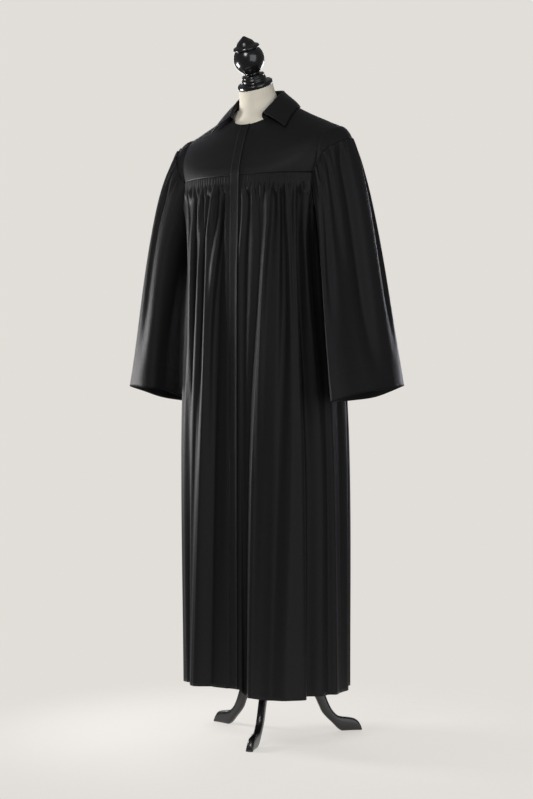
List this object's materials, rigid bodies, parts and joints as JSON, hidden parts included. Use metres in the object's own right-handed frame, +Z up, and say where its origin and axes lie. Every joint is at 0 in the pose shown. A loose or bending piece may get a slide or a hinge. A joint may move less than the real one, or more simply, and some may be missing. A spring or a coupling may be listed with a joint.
{
  "type": "clergy robe on dress form",
  "caption": "Long black clergy robe with yoke, gathered fronts, turned-down collar and gathered bell sleeves, worn by a limbless dress form on a turned and cabriole-legged wooden stand.",
  "frame": {"origin": "on the floor, below the middle of the whole object's footprint", "axes": "+Z up, the front of the robe faces -Y, +X towards the wearer's left"},
  "size_m": [0.6666, 0.3722, 1.664],
  "materials": {
    "black_cloth": "matt satin-faced robe cloth, close weave, soft sheen on folds",
    "cream_cloth": "plain cream cotton cover",
    "black_wood": "black lacquered turned wood, glossy"
  },
  "bodies": {
    "root": {"yoke_front_left": "black_cloth", "yoke_front_right": "black_cloth", "yoke_back": "black_cloth", "front_left": "black_cloth", "front_right": "black_cloth", "back": "black_cloth", "sleeve_left": "black_cloth", "sleeve_right": "black_cloth", "sleeve_band_left": "black_cloth", "sleeve_band_right": "black_cloth", "collar": "black_cloth", "placket": "black_cloth", "form_body": "cream_cloth", "neck_cap": "black_wood", "pole": "black_wood", "hub": "black_wood", "leg_front": "black_wood", "leg_left": "black_wood", "leg_right": "black_wood"}
  },
  "joints": []
}
